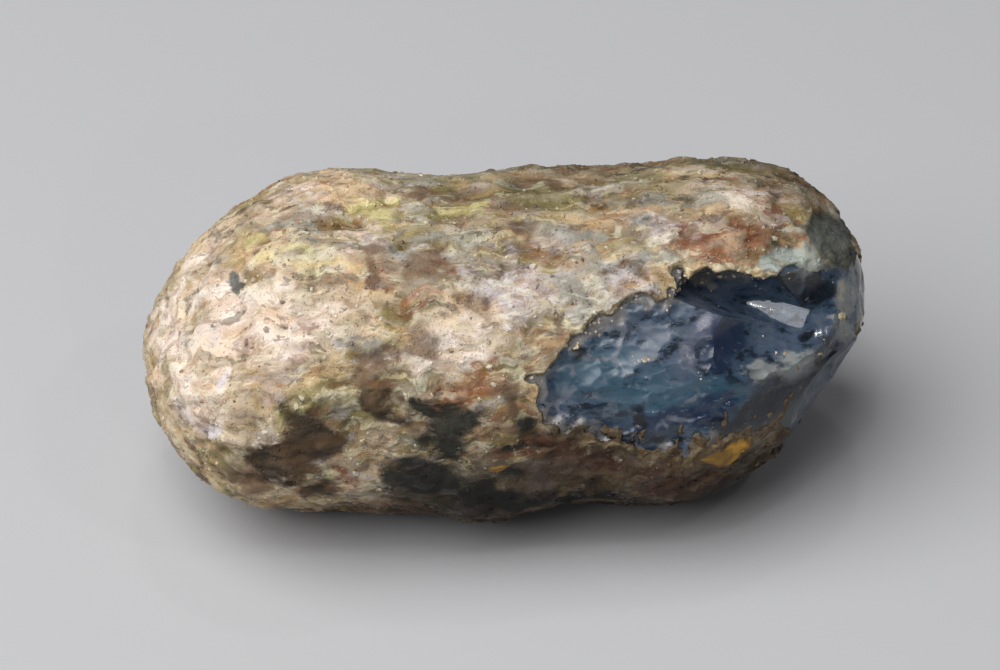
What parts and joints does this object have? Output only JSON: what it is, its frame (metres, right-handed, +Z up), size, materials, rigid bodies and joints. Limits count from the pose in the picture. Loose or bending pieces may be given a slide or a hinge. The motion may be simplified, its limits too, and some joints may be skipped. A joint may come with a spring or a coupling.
{
  "type": "rough blue amber nodule",
  "caption": "Rough blue amber nodule: a worn bean-shaped stone with a tan weathered crust, broken open at one end on dark blue glassy amber.",
  "frame": {"origin": "middle of the stone's box, on the plane of the worn patch that it rests on", "axes": "+Z up, +X along the stone's length towards its broken end, -Y out of its bare broken face"},
  "size_m": [0.0504, 0.0268, 0.0226],
  "materials": {
    "crust": "matte",
    "amber": "gloss",
    "inclusions": "matte"
  },
  "bodies": {
    "root": {"rough_amber": "crust"}
  },
  "joints": []
}
